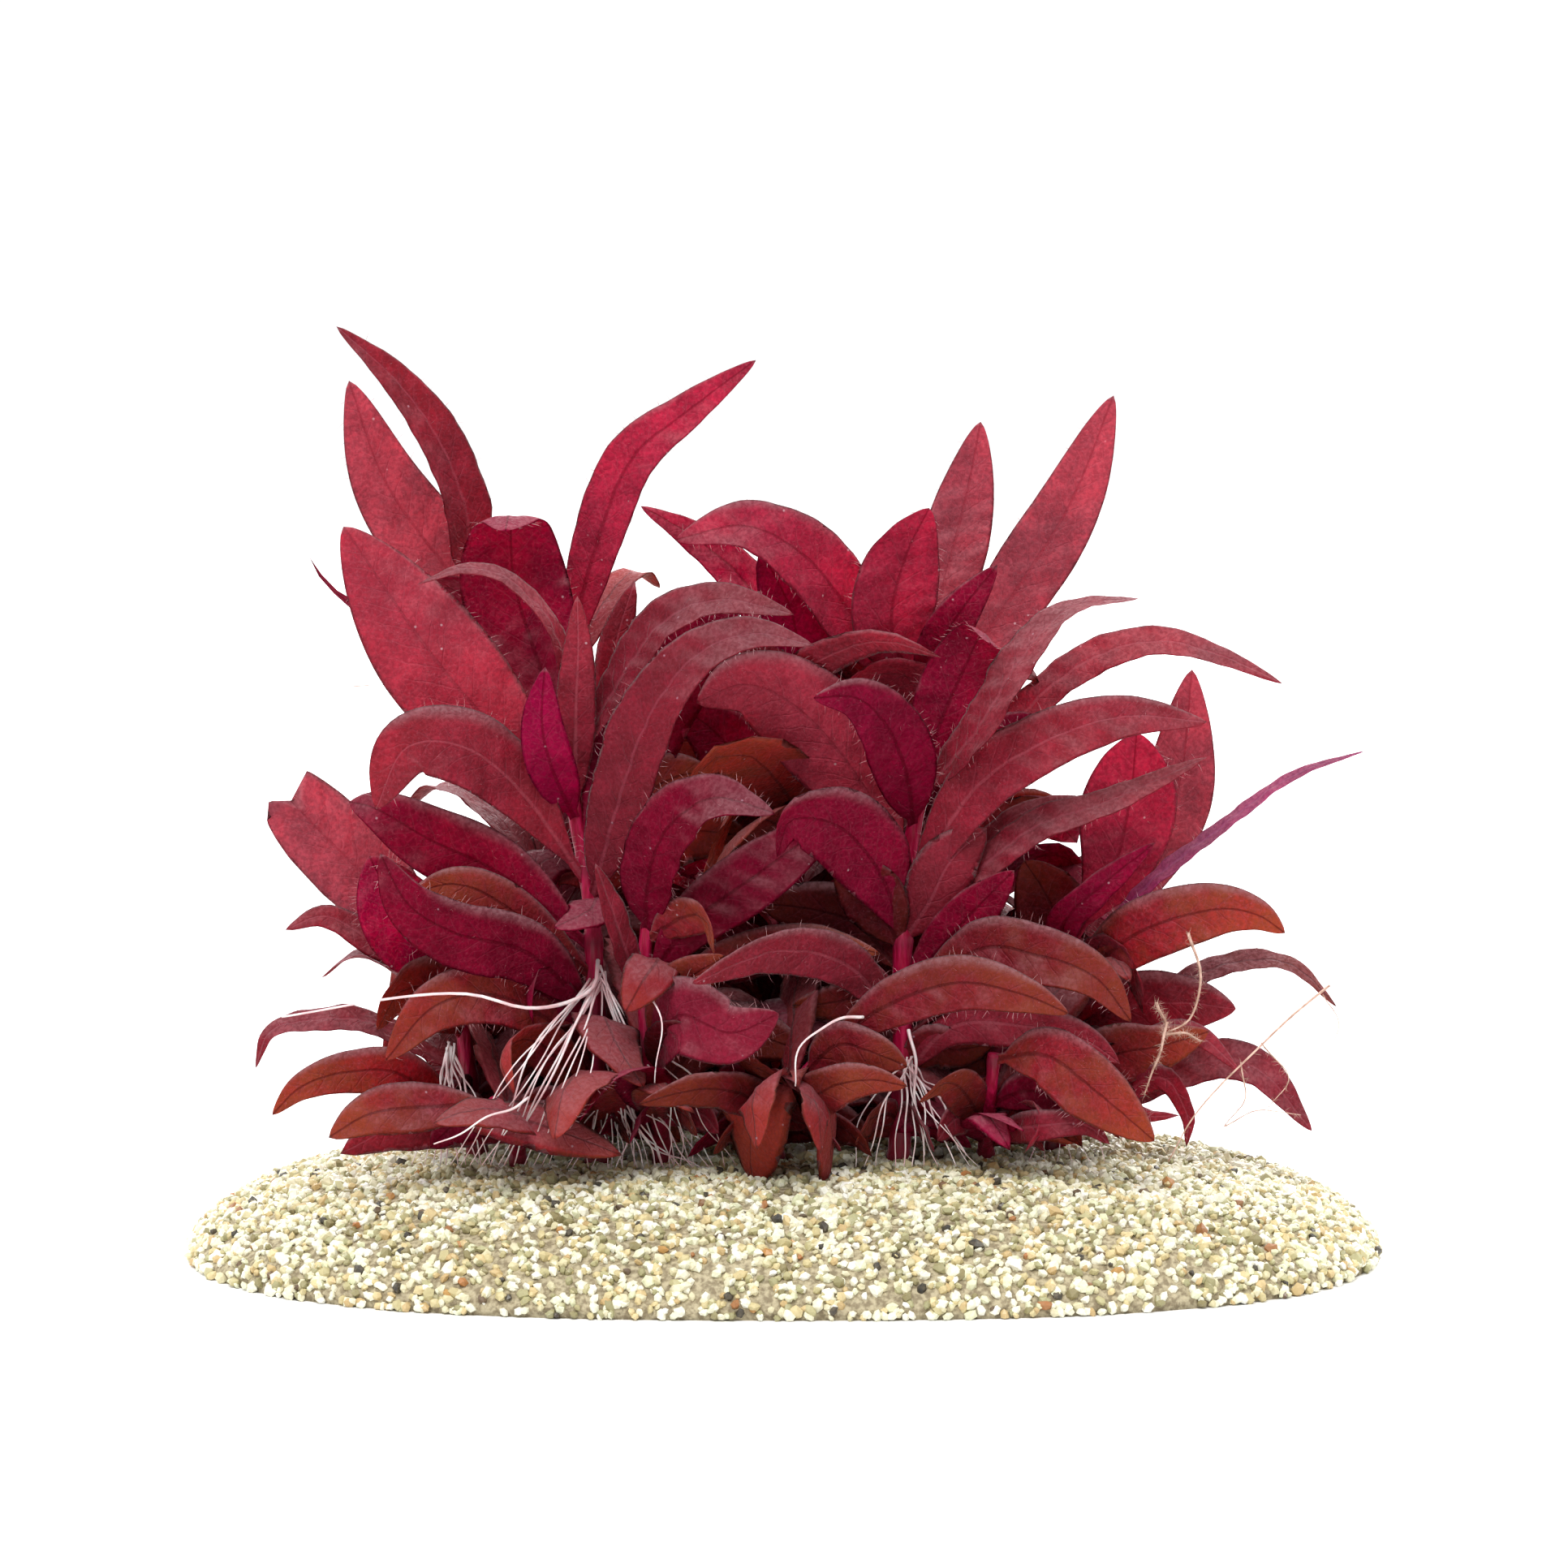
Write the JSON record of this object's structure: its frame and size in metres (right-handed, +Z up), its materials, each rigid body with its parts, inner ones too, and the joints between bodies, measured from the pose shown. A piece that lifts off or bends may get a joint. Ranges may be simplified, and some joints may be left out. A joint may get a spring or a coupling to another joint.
{
  "type": "mini alternanthera reineckii",
  "caption": "Bushy crimson aquarium plant with pointed leaves on upright stems and fine pale roots, planted in a low oval heap of pale sand.",
  "frame": {"origin": "middle of the sand heap's flat underside", "axes": "+X along the heap's length, to the right in the front view; +Y away from the front; +Z up"},
  "size_m": [0.147, 0.1, 0.1136],
  "materials": {
    "crimson_leaf": "satin, translucent red leaf tissue",
    "dusky_leaf": "matte greyish red leaf tissue",
    "pale_leaf": "light red translucent leaf tissue",
    "magenta_leaf": "young magenta leaf tissue",
    "rust_leaf": "old rust-orange leaf tissue",
    "stem": "smooth fleshy crimson stem",
    "sand": "loose pale cream quartz grains"
  },
  "bodies": {
    "root": {"left_tall_leaf": "dusky_leaf", "left_pale_leaf": "pale_leaf", "left_big_leaf": "pale_leaf", "left_folded_leaf": "crimson_leaf", "left_arched_leaf": "dusky_leaf", "left_veined_leaf": "crimson_leaf", "torn_leaf": "pale_leaf", "left_round_leaf": "magenta_leaf", "left_crimson_leaf": "crimson_leaf", "left_brown_leaf": "rust_leaf", "left_orange_leaf": "rust_leaf", "left_whip_leaf": "dusky_leaf", "left_low_leaf": "rust_leaf", "front_folded_leaf": "rust_leaf", "centre_tall_leaf": "crimson_leaf", "centre_purple_leaf": "magenta_leaf", "centre_arching_leaf": "crimson_leaf", "centre_upper_curl_leaf": "dusky_leaf", "centre_lower_curl_leaf": "dusky_leaf", "centre_broad_leaf": "pale_leaf", "old_round_leaf": "rust_leaf", "centre_front_leaf": "crimson_leaf", "centre_right_leaf": "crimson_leaf", "centre_grey_leaf": "dusky_leaf", "centre_round_leaf": "crimson_leaf", "right_tall_leaf": "pale_leaf", "right_pale_leaf": "pale_leaf", "right_heart_leaf": "crimson_leaf", "right_swept_leaf": "dusky_leaf", "right_folded_leaf": "crimson_leaf", "right_front_leaf": "magenta_leaf", "right_far_arch_leaf": "dusky_leaf", "right_long_leaf": "dusky_leaf", "right_purple_tip_leaf": "dusky_leaf", "right_back_leaf": "pale_leaf", "right_round_leaf": "crimson_leaf", "right_needle_leaf": "magenta_leaf", "right_orange_leaf": "rust_leaf", "right_brown_arch_leaf": "dusky_leaf", "right_dusky_leaf": "dusky_leaf", "right_large_front_leaf": "rust_leaf", "right_arching_leaf": "rust_leaf", "right_low_big_leaf": "rust_leaf", "right_low_outer_leaf": "dusky_leaf", "left_stem": "stem", "centre_stem": "stem", "right_stem": "stem", "back_left_stem": "stem", "back_centre_stem": "stem", "back_right_stem": "stem", "far_left_stem": "stem", "far_right_stem": "stem", "front_left_shoot": "stem", "front_mid_shoot": "stem", "front_right_shoot": "stem", "back_left_shoot": "stem", "back_right_shoot": "stem", "sand_bed": "sand"}
  },
  "joints": []
}
